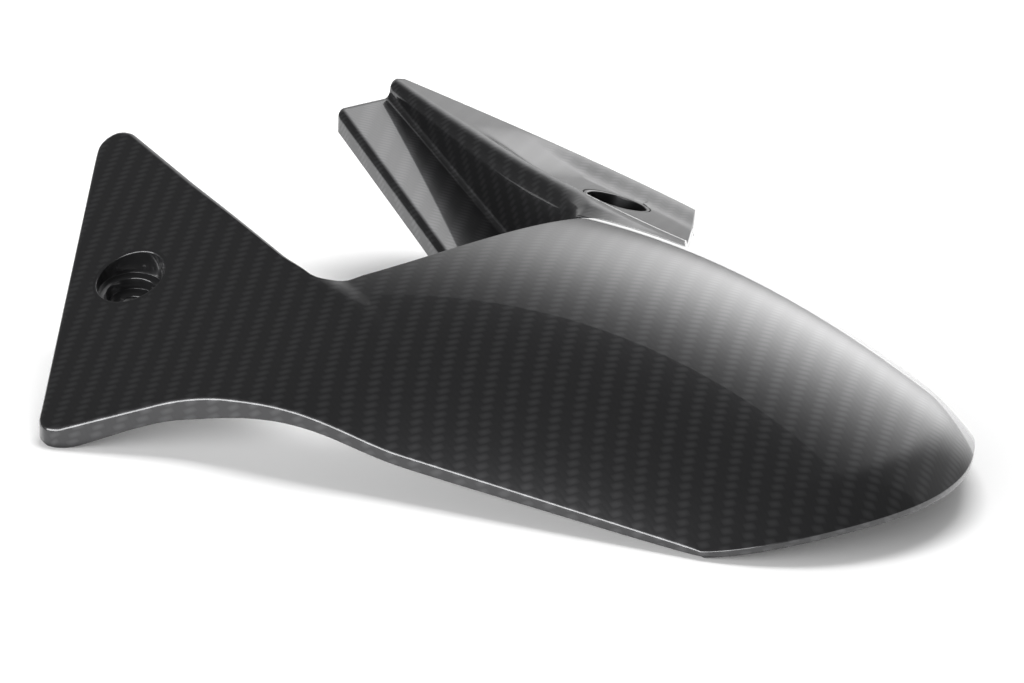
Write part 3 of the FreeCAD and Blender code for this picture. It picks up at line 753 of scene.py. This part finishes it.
# a little brighter for the camera and in the lacquer; lamps and the object's shadow still shade it
floorMaterial, kit = startMaterial("paleFloor")
diffuse = kit.make("ShaderNodeBsdfDiffuse", Color=gray(studio["floorColor"]))
glow = kit.make("ShaderNodeEmission", Color=gray(1), Strength=studio["floorGlow"])
cameraRay = kit.make("ShaderNodeLightPath")
glossyRay = cameraRay.output("Is Glossy Ray")
shown = kit.make("ShaderNodeAddShader", i0=diffuse, i1=glow)
kit.finish(floorMaterial, kit.make("ShaderNodeMixShader", i0=cameraRay + glossyRay, i1=diffuse, i2=shown))
stagePiece("floor", studio["floor"], floorMaterial)


def fade(kit, value, start, end, least):  # least at start, 1 at end, smooth between
    settings = {"interpolation_type": "SMOOTHSTEP"}
    return kit.make("ShaderNodeMapRange", settings, i0=value, i1=start, i2=end, i3=least, i4=1.0)


screenMaterial, kit = startMaterial("whiteScreen")
across = kit.make("ShaderNodeSeparateXYZ", Vector=kit.make("ShaderNodeTexCoord", output="Object"))
upward = across.output("Z")
level = fade(kit, upward, *studio["screenTop"]) * fade(kit, upward, *studio["screenFoot"])
level = level * fade(kit, across, *studio["screenRight"]) * fade(kit, across, *studio["screenLeft"])
tint = kit.make("ShaderNodeCombineColor", i0=level, i1=level, i2=level)
kit.finish(screenMaterial, kit.make("ShaderNodeEmission", Color=tint, Strength=studio["screenStrength"]))
screen = stagePiece("screen", studio["screen"], screenMaterial)
screen.visible_camera = False
screen.visible_shadow = False

# white where the camera sees past the floor, dim for everything else
world = bpy.data.worlds.new("studioWorld")
bpy.context.scene.world = world
world.use_nodes = True
world.node_tree.nodes.clear()
kit = Node(world.node_tree, None)
around = kit.make("ShaderNodeBackground", Color=gray(studio["worldColor"]), Strength=1.0)
white = kit.make("ShaderNodeBackground", Color=gray(1), Strength=1.0)
mixed = kit.make("ShaderNodeMixShader", i0=kit.make("ShaderNodeLightPath"), i1=around, i2=white)
kit.finish(world, mixed, "ShaderNodeOutputWorld")


def addLamp(name, spot, size, power):  # rectangle that faces the origin
    lamp = bpy.data.lights.new(name, "AREA")
    lamp.shape = "RECTANGLE"
    lamp.size, lamp.size_y = size
    lamp.energy = power
    obj = bpy.data.objects.new(name, lamp)
    obj.location = spot
    obj.rotation_euler = (-Vector(spot)).to_track_quat("-Z", "Y").to_euler()
    bpy.context.scene.collection.objects.link(obj)
    return obj


# radiance 1 is pi watts for each square metre of lamp
stripPower = studio["stripRadiance"] * np.pi * studio["stripSize"][0] * studio["stripSize"][1]
addLamp("frontStrip", studio["strip"], studio["stripSize"], stripPower)
addLamp("backLamp", studio["lamp"], studio["lampSize"], studio["lampPower"]).visible_glossy = False

# camera at the photograph's place: level frame turned by the pitch the part lies at
view = {
    "azimuth": 38.0, "elevation": 16.0, "focal": 2700.0, "width": 1024.0, "height": 683.0, "sensor": 36.0,
    "pitch": 0.0559, "corner": (0.0, -76.0, 0.0), "cornerPixel": (700.0, 560.0), "cornerDepth": 800.0,
    "clipStart": 0.05,
}
az, el = np.radians(view["azimuth"]), np.radians(view["elevation"])
right = np.array([np.cos(az), np.sin(az), 0])
back = np.array([np.sin(az) * np.cos(el), -np.cos(az) * np.cos(el), np.sin(el)])
up = np.array([-np.sin(az) * np.sin(el), np.cos(az) * np.sin(el), np.cos(el)])
du = (view["cornerPixel"][0] - view["width"] / 2) / view["focal"]
dv = (view["cornerPixel"][1] - view["height"] / 2) / view["focal"]
eye = np.array(view["corner"]) - view["cornerDepth"] * (du * right - dv * up - back)
pitchSine = view["pitch"]
pitchCosine = np.sqrt(1 - pitchSine ** 2)
pitched = np.array([[pitchCosine, 0, -pitchSine], [0, 1, 0], [pitchSine, 0, pitchCosine]])
placed = np.eye(4)
placed[:3, :3] = pitched @ np.stack([right, up, back], 1)
placed[:3, 3] = (pitched @ eye + origin) / perMetre
camera = bpy.data.objects.new("camera", bpy.data.cameras.new("camera"))
bpy.context.scene.collection.objects.link(camera)
camera.matrix_world = Matrix(placed.tolist())
camera.data.sensor_width = view["sensor"]
camera.data.lens = view["focal"] / view["width"] * view["sensor"]
camera.data.clip_start = view["clipStart"]
bpy.context.scene.camera = camera
bpy.context.scene.view_settings.view_transform = "Standard"
print("camera and light ready")
